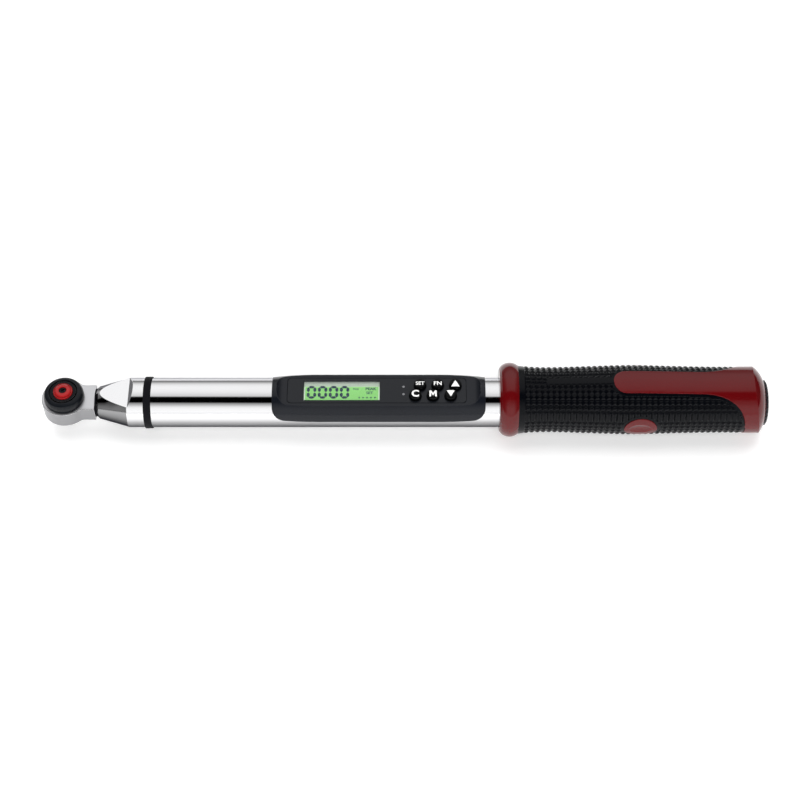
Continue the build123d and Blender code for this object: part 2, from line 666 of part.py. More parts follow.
def grip_core():
    """Red moulded grip body: flange, inner sleeve, tongue, ovals and rear body."""
    whole = grip_outline(370) & rear_dome()
    front = whole & block((200, FLANGE_END), (-30, 30), (-30, 30))
    sleeve = rod_x(LINER_WALL, (FLANGE_END - 1, COVER_END + 1))
    core = front + sleeve + (whole & red_zone())
    core -= oval_dishes()
    core -= block((200, FLANGE_END), (-20, 20), (-30, GRIP_LIFT - FLANGE_FLAT))
    core -= rod_x(TUBE_R + 0.03, (200, TUBE_END + 0.5))
    core -= rod_x(CAP_THREAD_R + 0.1, (300, 400))
    return core - rod_x(CAP_R + 0.1, (CAP_X - 0.1, 400))


def grip_cover():
    """Black rubber skin over the sleeve, between the flange and the rear body."""
    skin = grip_outline(COVER_END) - block((200, FLANGE_END), (-30, 30), (-30, 30))
    return skin - rod_x(LINER_WALL, (200, 400)) - red_zone()


def battery_liner():
    """Plastic sleeve that centres the batteries in the tube."""
    liner = rod_x(TUBE_BORE - 0.05, LINER_X) - rod_x(BATTERY_R + 0.3, (LINER_FLOOR, 350))
    return liner - rod_x(1.6, (LINER_X[0] - 1, LINER_FLOOR + 1))


def front_contact():
    return rod_x(6.0, (LINER_FLOOR, BATTERY_X - 0.3)) + rod_x(1.2, (240.0, LINER_FLOOR + 0.1))


def batteries():
    """Two round cells in line, each with its raised end."""
    cells = []
    for place in range(2):
        start = BATTERY_X + place * (BATTERY_LENGTH + 0.5)
        tip = rod_x(2.6, (start, start + 1.3))
        cells.append(rod_x(BATTERY_R, (start + 1.2, start + BATTERY_LENGTH)) + tip)
    return Compound(children=cells)


def battery_cap():
    """Screw cap with a ribbed rim and a coin slot."""
    cap = spun_x([
        (CAP_START, 0), (CAP_START, CAP_THREAD_R), (CAP_X, CAP_THREAD_R), (CAP_X, CAP_R),
        (CAP_END - 0.7, CAP_R), (CAP_END - 0.2, CAP_R - 0.7), (CAP_END, 6.0), (CAP_END, 0),
    ])
    groove = (SEAL_X - 0.8, SEAL_X + 0.8)
    cap -= rod_x(11, groove) - rod_x(SEAL_R - 0.7, groove)
    cap -= block((CAP_END - 1.6, CAP_END + 1), (-7.6, 7.6), (-0.9, 0.9))
    for rib in range(CAP_RIBS):
        cap -= Rot(rib * 360 / CAP_RIBS, 0, 0) * rod_x(RIB_R, (CAP_X - 0.5, CAP_END + 1), z=CAP_R)
    return cap


def cap_seal():
    """Rubber ring in the cap's groove."""
    return Pos(SEAL_X, 0, 0) * Rot(0, 90, 0) * Torus(SEAL_R, SEAL_WIRE)


def cap_contact():
    """Contact plate and its spring against the last cell."""
    plate = rod_x(7.0, (349.7, CAP_START - 0.05))
    spring = coil(3.6, 0.35, 1.2, 3.2, Pos(346.2, 0, 0) * Rot(0, 90, 0))
    return plate + spring


PARTS = {
    "ratchet_head": ratchet_head,
    "head_cover": head_cover,
    "cover_screws": cover_screws,
    "drive_gear": drive_gear,
    "pawl": pawl,
    "pawl_pin": pawl_pin,
    "direction_dial": direction_dial,
    "shift_pin": shift_pin,
    "detent_ball": detent_ball,
    "detent_spring": detent_spring,
    "dial_snap_ring": dial_snap_ring,
    "release_button": release_button,
    "release_pin": release_pin,
    "release_spring": release_spring,
    "socket_ball": socket_ball,
    "torque_tube": torque_tube,
    "nose_ring": nose_ring,
    "nose_seal": nose_seal,
    "pivot_pin": pivot_pin,
    "strain_beam": strain_beam,
    "beam_dowel": beam_dowel,
    "beam_pin": beam_pin,
    "strain_gauges": strain_gauges,
    "gauge_cable": gauge_cable,
    "display_housing": display_housing,
    "housing_screws": housing_screws,
    "display_panel": display_panel,
    "display_lens": display_lens,
    "lcd_module": lcd_module,
    "backlight": backlight,
    "main_board": main_board,
    "key_switches": key_switches,
    "keypad_sheet": keypad_sheet,
    "status_lights": status_lights,
    "status_lamps": status_lamps,
    "buzzer": buzzer,
    "processor": processor,
    "board_sockets": board_sockets,
    "grip_core": grip_core,
    "grip_cover": grip_cover,
    "battery_liner": battery_liner,
    "front_contact": front_contact,
    "batteries": batteries,
    "battery_cable": battery_cable,
    "battery_cap": battery_cap,
    "cap_seal": cap_seal,
    "cap_contact": cap_contact,
}

os.makedirs("parts", exist_ok=True)
for node, make in PARTS.items():
    export_step(make(), f"parts/{node}.step")
for node, x, y in key_spots():
    export_step(key(x, y), f"parts/{node}.step")
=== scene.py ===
import json
from math import cos, floor, hypot, pi, radians, sin

import bmesh
import bpy
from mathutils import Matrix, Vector


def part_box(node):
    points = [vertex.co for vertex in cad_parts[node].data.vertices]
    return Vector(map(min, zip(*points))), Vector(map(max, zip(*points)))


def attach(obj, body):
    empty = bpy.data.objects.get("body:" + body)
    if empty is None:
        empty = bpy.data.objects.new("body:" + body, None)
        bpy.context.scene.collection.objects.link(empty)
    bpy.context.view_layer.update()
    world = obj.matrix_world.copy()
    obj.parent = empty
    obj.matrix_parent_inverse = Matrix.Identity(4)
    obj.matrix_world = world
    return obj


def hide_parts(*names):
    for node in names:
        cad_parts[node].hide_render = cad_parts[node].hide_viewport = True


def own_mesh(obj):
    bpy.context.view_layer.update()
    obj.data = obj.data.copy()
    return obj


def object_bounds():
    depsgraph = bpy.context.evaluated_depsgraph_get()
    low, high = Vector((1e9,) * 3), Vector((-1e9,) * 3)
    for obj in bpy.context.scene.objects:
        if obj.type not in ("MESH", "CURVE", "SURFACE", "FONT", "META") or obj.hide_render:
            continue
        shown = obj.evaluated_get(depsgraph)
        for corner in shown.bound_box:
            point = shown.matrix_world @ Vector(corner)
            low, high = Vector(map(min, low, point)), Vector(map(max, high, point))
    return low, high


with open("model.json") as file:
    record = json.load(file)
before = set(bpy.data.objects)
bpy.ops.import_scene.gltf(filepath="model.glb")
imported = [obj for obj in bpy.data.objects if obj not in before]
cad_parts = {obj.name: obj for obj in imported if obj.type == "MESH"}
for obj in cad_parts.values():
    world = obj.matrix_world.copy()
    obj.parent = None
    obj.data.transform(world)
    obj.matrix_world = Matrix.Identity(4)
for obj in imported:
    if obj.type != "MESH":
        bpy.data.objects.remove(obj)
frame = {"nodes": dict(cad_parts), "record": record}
CAD_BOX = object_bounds()
MM = 0.001


# ---------------------------------------------------------------- places, from the frame

def place(node):
    """Centre and half size of a CAD node."""
    low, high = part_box(node)
    return (Vector(low) + Vector(high)) / 2, (Vector(high) - Vector(low)) / 2


LCD_LOW, LCD_HIGH = (Vector(v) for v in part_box("lcd_module"))
# How far the display's window frame covers the module at its sides.
LCD_LIP_X, LCD_LIP_Y = 1.4 * MM, 1.1 * MM


# ---------------------------------------------------------------- node helpers

def add(tree, kind, props=None, **inputs):
    """A shader node; inputs are values or sockets, with _ for a space."""
    made = tree.nodes.new("ShaderNode" + kind)
    for key, value in (props or {}).items():
        setattr(made, key, value)
    for key, value in inputs.items():
        socket = made.inputs[int(key[1:]) if key[0] == "_" else key.replace("_", " ")]
        if isinstance(value, bpy.types.NodeSocket):
            tree.links.new(value, socket)
        else:
            socket.default_value = value
    return made


def ramp(tree, value, stops):
    """A colour ramp with (position, grey or colour) stops."""
    made = add(tree, "ValToRGB", Fac=value)
    points = made.color_ramp.elements
    for spot, colour in stops[2:]:
        points.new(spot)
    for point, (spot, colour) in zip(points, stops):
        point.position = spot
        point.color = (*colour, 1) if isinstance(colour, tuple) else (colour, colour, colour, 1)
    return made.outputs["Color"]


def noise(tree, where, scale, detail=3.0, stretch=None, rough=0.5):
    """Noise on object coordinates, in features per metre."""
    if stretch:
        where = add(tree, "Mapping", Vector=where, Scale=stretch).outputs["Vector"]
    return add(tree, "TexNoise", Vector=where, Scale=scale, Detail=detail, Roughness=rough).outputs["Fac"]


def math_node(tree, operation, a, b=0.0, clamp=False):
    return add(tree, "Math", {"operation": operation, "use_clamp": clamp}, _0=a, _1=b).outputs[0]


def blend(tree, amount, a, b, mode="MIX"):
    made = add(tree, "Mix", {"data_type": "RGBA", "blend_type": mode}, _0=amount)
    for index, value in ((6, a), (7, b)):
        if isinstance(value, bpy.types.NodeSocket):
            tree.links.new(value, made.inputs[index])
        else:
            made.inputs[index].default_value = (*value, 1)
    return made.outputs[2]


def tone(colour, factor):
    return tuple(min(1.0, c * factor) for c in colour)


GRAIN_TONE = 1.6
SCUFF_SCALE, SCUFF_STRETCH = 260, (1.0, 9.0, 9.0)
# Strength of the pale edge colour, which is partly wear and partly a painted highlight.
WEAR_AND_HIGHLIGHT_AMOUNT = 1.6


def surface(name, colour, rough, metal=0.0, vary=0.12, patch=70, grain=2500, grain_mm=0.01, rough_vary=0.08,
            stretch=None, scuffs=0.0, edge_mm=0.0, wear_and_highlight=None, fixed=None, painted_shade=()):
    """A material: uneven colour, grain in bump and roughness, fine scuffs, pale edges that are partly wear and
    partly a painted highlight, and painted shade.

    vary and rough_vary are the spread of the colour and of the roughness; patch and grain are features per
    metre; grain_mm is the grain's depth and edge_mm the radius of softened edges. wear_and_highlight is the
    colour of the edges, partly worn and partly a painted highlight, and fixed sets the shader's own sockets.
    painted_shade darkens the base colour by how far the faces look up, a painted shade, in rows of
    (reach along X in mm, stops of (up, factor)).
    """
    material = bpy.data.materials.new(name)
    material.use_nodes = True
    tree = material.node_tree
    shader = tree.nodes["Principled BSDF"]
    where = add(tree, "TexCoord").outputs["Object"]
    patches = noise(tree, where, patch, 4.0)
    fine = noise(tree, where, grain, 4.0, stretch)
    mixed = blend(tree, patches, tone(colour, 1 - vary), tone(colour, 1 + vary))
    mixed = blend(tree, math_node(tree, "MULTIPLY", fine, vary), mixed, tone(colour, GRAIN_TONE))
    # Painted shade: below the reach along X, faces are darkened in their base colour by how far they look up.
    for reach_mm, stops in painted_shade:
        up = add(tree, "SeparateXYZ", Vector=add(tree, "NewGeometry").outputs["Normal"]).outputs[2]
        share = math_node(tree, "MULTIPLY", math_node(tree, "ADD", up, 1.0), 0.5)
        painted_shade_ramp = ramp(tree, share, [((spot + 1) / 2, factor) for spot, factor in stops])
        near = math_node(tree, "LESS_THAN", add(tree, "SeparateXYZ", Vector=where).outputs[0], reach_mm * MM)
        mixed = blend(tree, near, mixed, painted_shade_ramp, "MULTIPLY")
    level = math_node(tree, "MULTIPLY_ADD", patches, rough_vary)
    level.node.inputs[2].default_value = rough - rough_vary / 2
    if scuffs:
        marks = noise(tree, where, SCUFF_SCALE, 6.0, SCUFF_STRETCH, 0.7)
        marks = ramp(tree, marks, [(0.56, 0.0), (0.64, 1.0)])
        level = math_node(tree, "ADD", level, math_node(tree, "MULTIPLY", marks, scuffs))
    height = add(tree, "Bump", Height=fine, Strength=1.0, Distance=grain_mm * MM)
    if edge_mm:
        soft = add(tree, "Bevel", {"samples": 4}, Radius=edge_mm * MM)
        tree.links.new(soft.outputs[0], height.inputs["Normal"])
        # Pale edges: partly wear and partly a painted highlight along the rims.
        if wear_and_highlight:
            flat = add(tree, "NewGeometry").outputs["Normal"]
            turn = add(tree, "VectorMath", {"operation": "DOT_PRODUCT"}, _0=soft.outputs[0], _1=flat)
            edge = ramp(tree, turn.outputs["Value"], [(0.9, 1.0), (0.995, 0.0)])
            edge = math_node(tree, "MULTIPLY", edge, math_node(tree, "MULTIPLY", patches, WEAR_AND_HIGHLIGHT_AMOUNT))
            mixed = blend(tree, edge, mixed, wear_and_highlight)
    tree.links.new(mixed, shader.inputs["Base Color"])
    tree.links.new(level, shader.inputs["Roughness"])
    tree.links.new(height.outputs[0], shader.inputs["Normal"])
    shader.inputs["Metallic"].default_value = metal
    for key, value in (fixed or {}).items():
        shader.inputs[key].default_value = value
    return material


# ---------------------------------------------------------------- materials

DARK_RIM = {"Specular Tint": (0.3, 0.3, 0.32, 1)}
NOSE_REACH, WHOLE_REACH = 32.9, 400
# Painted shade on the chrome: the nose cone's sides and the tube's lower and side faces are darkened in colour.
CHROME_PAINTED_SHADE = (
    (NOSE_REACH, ((0.94, 0.32), (0.98, 1.0))),
    (WHOLE_REACH, ((-0.3, 0.34), (0.0, 0.46), (0.2, 0.76), (0.4, 1.0))),
)
# Painted shade on the satin head: its sides are darkened in colour by how far they look up.
SATIN_PAINTED_SHADE = ((WHOLE_REACH, ((0.75, 0.46), (0.97, 1.0))),)
LOOKS = {
    "bright_chrome": surface("chrome_tube", (0.88, 0.88, 0.89), 0.07, 1.0, 0.015, 40, 900, 0.0006, 0.03,
                             scuffs=0.04, edge_mm=0.15, fixed=DARK_RIM, painted_shade=CHROME_PAINTED_SHADE),
    # The satin head's near-white edge colour is a painted highlight along its rims.
    "satin_chrome": surface("satin_head", (0.66, 0.66, 0.68), 0.36, 1.0, 0.03, 120, 5200, 0.006, 0.06,
                            edge_mm=0.45, wear_and_highlight=(0.97, 0.97, 0.98), painted_shade=SATIN_PAINTED_SHADE),
    "tool_steel": surface("tool_steel", (0.36, 0.36, 0.38), 0.3, 1.0, 0.06, 160, 2600, 0.006, 0.1,
                          stretch=(0.1, 1, 1), edge_mm=0.15, wear_and_highlight=(0.8, 0.8, 0.82)),
    "black_oxide": surface("black_oxide", (0.012, 0.012, 0.014), 0.42, 0.9, 0.2, 200, 3000, 0.006, 0.1,
                           edge_mm=0.12, wear_and_highlight=(0.3, 0.3, 0.3)),
    "spring_steel": surface("spring_steel", (0.55, 0.55, 0.56), 0.28, 1.0, 0.05, 300, 4000, 0.003),
    "dial_black": surface("dial_plastic", (0.003, 0.004, 0.006), 0.3, 0.0, 0.25, 150, 4200, 0.006, 0.1,
                          edge_mm=0.15, wear_and_highlight=(0.06, 0.065, 0.07), fixed={"Specular IOR Level": 0.24}),
    "button_red": surface("button_plastic", (0.3, 0.009, 0.01), 0.18, 0.0, 0.1, 240, 3800, 0.004, 0.08,
                          edge_mm=0.15, fixed={"Specular IOR Level": 0.35}),
    "housing_black": surface("housing_plastic", (0.0055, 0.0065, 0.0095), 0.17, 0.0, 0.16, 60, 4200, 0.006, 0.05,
                             edge_mm=0.5, wear_and_highlight=(0.02, 0.021, 0.025), scuffs=0.03,
                             fixed={"Specular IOR Level": 0.27}),
    "panel_black": surface("panel_film", (0.006, 0.007, 0.0095), 0.26, 0.0, 0.1, 60, 5200, 0.004, 0.05,
                           edge_mm=0.12, fixed={"Specular IOR Level": 0.28}),
    "light_guide": surface("light_guide", (0.8, 0.86, 0.8), 0.3),
    "board_green": surface("solder_mask", (0.012, 0.11, 0.04), 0.3, 0.0, 0.2, 300, 1500, 0.02),
    "part_black": surface("chip_plastic", (0.02, 0.02, 0.021), 0.5, 0.0, 0.2, 300, 4000, 0.01),
    "part_white": surface("liner_plastic", (0.74, 0.72, 0.66), 0.5, 0.0, 0.06, 120, 3000, 0.01),
    "light_pipe": surface("light_pipe", (0.16, 0.16, 0.17), 0.3, 0.0, 0.1, 500, 6000, 0.004),
    "key_rubber": surface("key_rubber", (0.0012, 0.0013, 0.0015), 0.24, 0.0, 0.25, 300, 5200, 0.006, 0.08,
                          fixed={"Specular IOR Level": 0.1}),
    "ring_rubber": surface("ring_rubber", (0.004, 0.004, 0.0055), 0.6, 0.0, 0.25, 200, 4200, 0.012, 0.1,
                           fixed={"Specular IOR Level": 0.08}),
    "grip_rubber": surface("grip_rubber", (0.001, 0.0013, 0.0022), 0.24, 0.0, 0.3, 90, 4200, 0.01, 0.1,
                           scuffs=0.06, fixed={"Specular IOR Level": 0.13}),
    "grip_red": surface("grip_plastic", (0.086, 0.0018, 0.0028), 0.11, 0.0, 0.07, 60, 3600, 0.003, 0.04,
                        edge_mm=0.25, wear_and_highlight=(0.16, 0.02, 0.022), scuffs=0.04,
                        fixed={"Specular IOR Level": 0.33}),
    "cap_black": surface("cap_plastic", (0.007, 0.007, 0.009), 0.36, 0.0, 0.2, 150, 4200, 0.012, 0.1,
                         edge_mm=0.2, wear_and_highlight=(0.04, 0.04, 0.045), fixed={"Specular IOR Level": 0.3}),
    "cell_wrap": surface("cell_film", (0.07, 0.18, 0.28), 0.3, 0.0, 0.1, 90, 1200, 0.003),
    "brass": surface("brass", (0.72, 0.52, 0.22), 0.26, 1.0, 0.1, 200, 3000, 0.004, edge_mm=0.1),
    "gauge_foil": surface("gauge_foil", (0.6, 0.36, 0.1), 0.35, 0.3, 0.1, 400, 3000, 0.006),
    "wire_red": surface("wire_cover", (0.42, 0.02, 0.02), 0.42, 0.0, 0.1, 300, 3500, 0.008),
}
LEGEND_WHITE = surface("legend_ink", (0.85, 0.85, 0.84), 0.5, 0.0, 0.05, 900, 7000, 0.003)
FLAT_INK = {"Specular IOR Level": 0.08}
SEGMENT_BLUE = surface("segment_ink", (0.003, 0.022, 0.062), 0.5, 0.0, 0.12, 600, 5000, 0.002, fixed=FLAT_INK)
SEGMENT_FAINT = surface("segment_faint", (0.02, 0.09, 0.09), 0.5, 0.0, 0.12, 600, 5000, 0.002, fixed=FLAT_INK)


# The strip along the display's far edge is a painted shadow of the window frame.
DISPLAY_BORDER, DISPLAY_SHADOW_STRIP = 0.6 * MM, 2.85 * MM
FIELD_DARK, FIELD_LIGHT, FIELD_GRAIN = (0.2, 0.5, 0.135), (0.26, 0.59, 0.175), (0.05, 0.2, 0.08)
RIM_PALE = (0.62, 0.72, 0.6)
STRIP_PAINTED_SHADOW = ((0.0, (0.5, 0.66, 0.42)), (0.12, (0.36, 0.42, 0.35)), (1.0, (0.42, 0.44, 0.42)))
DISPLAY_GLOW = 0.3


def display_face():
    """Lit display: green field, a grey strip at the far edge painted as the shadow of the window frame, and a
    pale border.
    """
    material = bpy.data.materials.new("display_face")
    material.use_nodes = True
    tree = material.node_tree
    shader = tree.nodes["Principled BSDF"]
    where = add(tree, "TexCoord").outputs["Object"]
    axes = add(tree, "SeparateXYZ", Vector=where).outputs
    grain = noise(tree, where, 5200, 2.0)
    field = blend(tree, noise(tree, where, 90, 2.0), FIELD_DARK, FIELD_LIGHT)
    field = blend(tree, math_node(tree, "MULTIPLY", grain, 0.16), field, FIELD_GRAIN)
    middle, half = place("lcd_module")
    strip = LCD_LIP_Y + DISPLAY_SHADOW_STRIP
    across = math_node(tree, "ABSOLUTE", math_node(tree, "SUBTRACT", axes[0], middle.x))
    down = math_node(tree, "SUBTRACT", axes[1], middle.y)
    side = math_node(tree, "GREATER_THAN", across, half.x - LCD_LIP_X - DISPLAY_BORDER)
    near = math_node(tree, "LESS_THAN", down, LCD_LIP_Y + DISPLAY_BORDER - half.y)
    rim = math_node(tree, "MAXIMUM", side, near)
    far = add(tree, "MapRange", Value=down)
    for socket, value in (("From Min", half.y - strip), ("From Max", half.y - LCD_LIP_Y)):
        far.inputs[socket].default_value = value
    # Painted shadow: the grey strip along the far edge, where the window frame shades the display.
    shade = ramp(tree, far.outputs[0], STRIP_PAINTED_SHADOW)
    in_strip = math_node(tree, "GREATER_THAN", down, half.y - strip)
    colour = blend(tree, rim, field, RIM_PALE)
    colour = blend(tree, in_strip, colour, shade)
    tree.links.new(colour, shader.inputs["Base Color"])
    tree.links.new(colour, shader.inputs["Emission Color"])
    shader.inputs["Emission Strength"].default_value = DISPLAY_GLOW
    tree.links.new(math_node(tree, "MULTIPLY_ADD", grain, 0.2), shader.inputs["Roughness"])
    return material


def clear_lens():
    """Thin clear window: see-through, with a faint glancing gloss."""
    material = bpy.data.materials.new("lens_clear")
    material.use_nodes = True
    tree = material.node_tree
    out = tree.nodes["Material Output"]
    where = add(tree, "TexCoord").outputs["Object"]
    smears = noise(tree, where, 220, 4.0)
    gloss = add(tree, "BsdfGlossy", Roughness=math_node(tree, "MULTIPLY", smears, 0.2))
    clear = add(tree, "BsdfTransparent", Color=(0.97, 0.99, 0.97, 1))
    fresnel = add(tree, "Fresnel", IOR=1.45).outputs[0]
    mix = add(tree, "MixShader", Fac=math_node(tree, "MULTIPLY", fresnel, 0.6))
    tree.links.new(clear.outputs[0], mix.inputs[1])
    tree.links.new(gloss.outputs[0], mix.inputs[2])
    tree.links.new(mix.outputs[0], out.inputs["Surface"])
    return material


LOOKS["lcd_green"] = display_face()
LOOKS["lens_clear"] = clear_lens()


# ---------------------------------------------------------------- mesh helpers

def piece(name, bm, body, slot_name, material=None, smooth=True):
    """Turns a bmesh into a named piece riding on a body."""
    mesh = bpy.data.meshes.new(name)
    bmesh.ops.recalc_face_normals(bm, faces=bm.faces)
    bm.to_mesh(mesh)
    bm.free()
    for polygon in mesh.polygons:
        polygon.use_smooth = smooth
    made = bpy.data.objects.new(name, mesh)
    bpy.context.scene.collection.objects.link(made)
    mesh.materials.append(material or LOOKS[slot_name])
    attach(made, body)
    return made


def slab(bm, outline, low, high):
    """A thin plate from a plan outline."""
    bottom = [bm.verts.new((x, y, low)) for x, y in outline]
    top = [bm.verts.new((x, y, high)) for x, y in outline]
    bm.faces.new(top)
    bm.faces.new(bottom[::-1])
    count = len(outline)
    for i in range(count):
        j = (i + 1) % count
        bm.faces.new((bottom[i], bottom[j], top[j], top[i]))


def lettering(text, size, squeeze=1.0, weight=0.025):
    """Flat faces of a word in Blender's own font, centred, size being the capital height."""
    curve = bpy.data.curves.new("word", "FONT")
    curve.body = text
    curve.align_x, curve.align_y = "CENTER", "CENTER"
    curve.resolution_u = 4
    curve.offset = weight
    holder = bpy.data.objects.new("word", curve)
    bpy.context.scene.collection.objects.link(holder)
    bpy.context.view_layer.update()
    mesh = bpy.data.meshes.new_from_object(holder.evaluated_get(bpy.context.evaluated_depsgraph_get()))
    bpy.data.objects.remove(holder)
    bm = bmesh.new()
    bm.from_mesh(mesh)
    xs = [v.co.x for v in bm.verts]
    ys = [v.co.y for v in bm.verts]
    middle = ((min(xs) + max(xs)) / 2, (min(ys) + max(ys)) / 2)
    scale = size / (max(ys) - min(ys))
    for v in bm.verts:
        v.co.x = (v.co.x - middle[0]) * scale * squeeze
        v.co.y = (v.co.y - middle[1]) * scale
    return bm


# ---------------------------------------------------------------- grip cover
# Millimetres along X and outward from the grip's axis, and degrees round it from the top.

GRIP_AXIS = 2.5
GRIP_TURN = 3.3
FLANGE_END, COVER_END = 232.3, 347.8
CELL_X, RIB_DEPTH = 2.92, 0.74
COLLAR_RUN = 3.0
ROW_DEG = 10.0
BAR_DEG = (54.0, 77.0)
CELL_FILL, BAR_FILL = 1.45, 2.4
PAD_X, PAD_DEG = (246, 281), (-9, 4)
SMOOTH_LEVEL = 0.75
BORDER_LEVEL, BORDER_WIDTH = 0.55, 1.6
STEPS_PER_CELL, STEPS_PER_ROW = 6, 6
SKIN_GAP = 0.06
RED_EDGE, UNDER_RED = -0.25, 2.6
COVER_WALL = 0.84
FAR_OFF = 99.0
TONGUE = {"tip": 280.3, "half": 6.6, "flare": ((325, 6.6), (335.5, 8.2), (343.5, 12.5), (347.8, 17.6))}
OVAL = {"x": 294.4, "half_x": 8.3, "half_z": 6.9}
GRIP_CURVE = (
    (232.3, 17.7), (240, 16.95), (250, 16.8), (268, 17.3), (290, 17.9), (312, 17.4), (332, 17.0), (345, 17.05),
    (358.2, 17.15),
)


def curve_through(points, x):
    """Smooth interpolation between the points of a profile."""
    for i in range(len(points) - 1):
        if x <= points[i + 1][0]:
            break
    (x0, y0), (x1, y1) = points[i], points[i + 1]
    before = points[i - 1] if i else points[i]
    after = points[i + 2] if i + 2 < len(points) else points[i + 1]
    span = x1 - x0
    start = span * (y1 - before[1]) / (x1 - before[0])
    end = span * (after[1] - y0) / (after[0] - x0)
    t = (x - x0) / span
    return (
        y0 * (2 * t**3 - 3 * t**2 + 1) + start * (t**3 - 2 * t**2 + t)
        + y1 * (3 * t**2 - 2 * t**3) + end * (t**3 - t**2)
    )


def red_distance(x, y, z):
    """How far a point of the cover is from the red tongue or an oval, in mm along the skin."""
    gap = FAR_OFF
    if z > GRIP_AXIS:
        tip, half = TONGUE["tip"], TONGUE["half"]
        if x < tip + half:
            gap = hypot(x - tip - half, y) - half
        elif x < TONGUE["flare"][0][0]:
            gap = abs(y) - half
        else:
            gap = abs(y) - curve_through(TONGUE["flare"], min(x, TONGUE["flare"][-1][0]))
    across, up = (x - OVAL["x"]) / OVAL["half_x"], (z - GRIP_AXIS) / OVAL["half_z"]
    reach = hypot(across, up)
    oval_gap = (reach - 1) * min(OVAL["half_x"], OVAL["half_z"])
    return min(gap, oval_gap, COVER_END - x)


def triangle(t):
    """1 in the middle of a cell and 0 at its edges."""
    return 1 - 2 * abs(t - floor(t) - 0.5)


def rib(x, degrees, gap):
    """Height of the rubber's relief, 0 in a groove and 1 on a pyramid's top."""
    on_pad = PAD_X[0] < x < PAD_X[1] and PAD_DEG[0] < degrees < PAD_DEG[1]
    if x < FLANGE_END + COLLAR_RUN or on_pad:
        return SMOOTH_LEVEL
    if gap < BORDER_WIDTH:
        return BORDER_LEVEL
    side = abs(degrees)
    if BAR_DEG[0] < side < BAR_DEG[1]:
        row = (side - BAR_DEG[0]) / (BAR_DEG[1] - BAR_DEG[0])
        tall = min(triangle(row) * BAR_FILL, 1.0)
    else:
        start = BAR_DEG[0] if side < BAR_DEG[0] else BAR_DEG[1]
        tall = triangle((side - start) / ROW_DEG)
    along = triangle((x - FLANGE_END - COLLAR_RUN) / CELL_X)
    return min(1.0, CELL_FILL * min(along, tall))


def grip_cover():
    """Rubber skin with rows of small pyramids, a smooth collar and a smooth pad."""
    steps_x = int((COVER_END - FLANGE_END) / CELL_X * STEPS_PER_CELL)
    steps_round = int(360 / ROW_DEG * STEPS_PER_ROW)
    bm = bmesh.new()
    rings = []
    for i in range(steps_x + 1):
        x = FLANGE_END + (COVER_END - FLANGE_END) * i / steps_x
        full = curve_through(GRIP_CURVE, x)
        ring = []
        for j in range(steps_round):
            degrees = 360 * j / steps_round - 180
            out_y, out_z = sin(radians(degrees)), cos(radians(degrees))
            rolled = degrees + GRIP_TURN
            gap = red_distance(x, full * sin(radians(rolled)), GRIP_AXIS + full * cos(radians(rolled)))
            r = full - RIB_DEPTH * (1 - rib(x, -rolled, gap)) - SKIN_GAP
            if gap < RED_EDGE:
                r = full - UNDER_RED
            ring.append(bm.verts.new((x * MM, r * out_y * MM, (GRIP_AXIS + r * out_z) * MM)))
        rings.append(ring)
    for a, b in zip(rings, rings[1:]):
        for j in range(steps_round):
            k = (j + 1) % steps_round
            bm.faces.new((a[j], b[j], b[k], a[k]))
    centre_z = GRIP_AXIS * MM
    for ring in (rings[0], rings[-1]):
        inner = [
            bm.verts.new((v.co.x, v.co.y * COVER_WALL, (v.co.z - centre_z) * COVER_WALL + centre_z)) for v in ring
        ]
        for j in range(steps_round):
            k = (j + 1) % steps_round
            bm.faces.new((ring[j], ring[k], inner[k], inner[j]))
    made = piece("grip_rubber", bm, "root", "grip_rubber", smooth=False)
    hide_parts("grip_cover")


# ---------------------------------------------------------------- direction dial

DIAL_PROFILE = (
    (6.68, 4.8), (10.17, 4.8), (10.25, 4.9), (10.12, 7.1), (10.08, 7.35), (9.95, 7.6), (9.9, 7.72), (9.55, 8.6),
    (9.4, 8.78), (9.1, 8.95), (7.95, 9.42), (7.6, 9.55), (7.42, 9.58), (7.36, 9.45), (7.3, 7.2), (6.68, 7.2),
)
KNURL_RIBS, STEPS_PER_RIB = 72, 4
KNURL_DEG, KNURL_Z, KNURL_FROM_R = (15, 100), (4.95, 8.7), 9
KNURL_DEPTH = 0.13


def direction_dial():
    """Lathe-turned dial with fine ribs on its wall, in two zones half a turn apart."""
    steps = KNURL_RIBS * STEPS_PER_RIB
    bm = bmesh.new()
    rings = []
    for j in range(steps):
        angle = 2 * pi * j / steps
        degrees = j * 360 / steps
        grooved = KNURL_DEG[0] < degrees % 180 < KNURL_DEG[1] and j % STEPS_PER_RIB == 0
        ring = []
        for r, z in DIAL_PROFILE:
            on_wall = KNURL_Z[0] < z < KNURL_Z[1] and r > KNURL_FROM_R
            groove = KNURL_DEPTH if grooved and on_wall else 0.0
            ring.append(bm.verts.new(((r - groove) * cos(angle) * MM, (r - groove) * sin(angle) * MM, z * MM)))
        rings.append(ring)
    count = len(DIAL_PROFILE)
    for j in range(steps):
        a, b = rings[j], rings[(j + 1) % steps]
        for i in range(count):
            k = (i + 1) % count
            bm.faces.new((a[i], b[i], b[k], a[k]))
    made = piece("dial_ring", bm, "dial", "dial_black")
    made.data.set_sharp_from_angle(angle=radians(40))
    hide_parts("direction_dial")


# ---------------------------------------------------------------- release spring

SPRING_WIRE, SPRING_PITCH = 0.25 * MM, 1.15 * MM
SPRING_STEPS, SPRING_SIDES = 32, 10


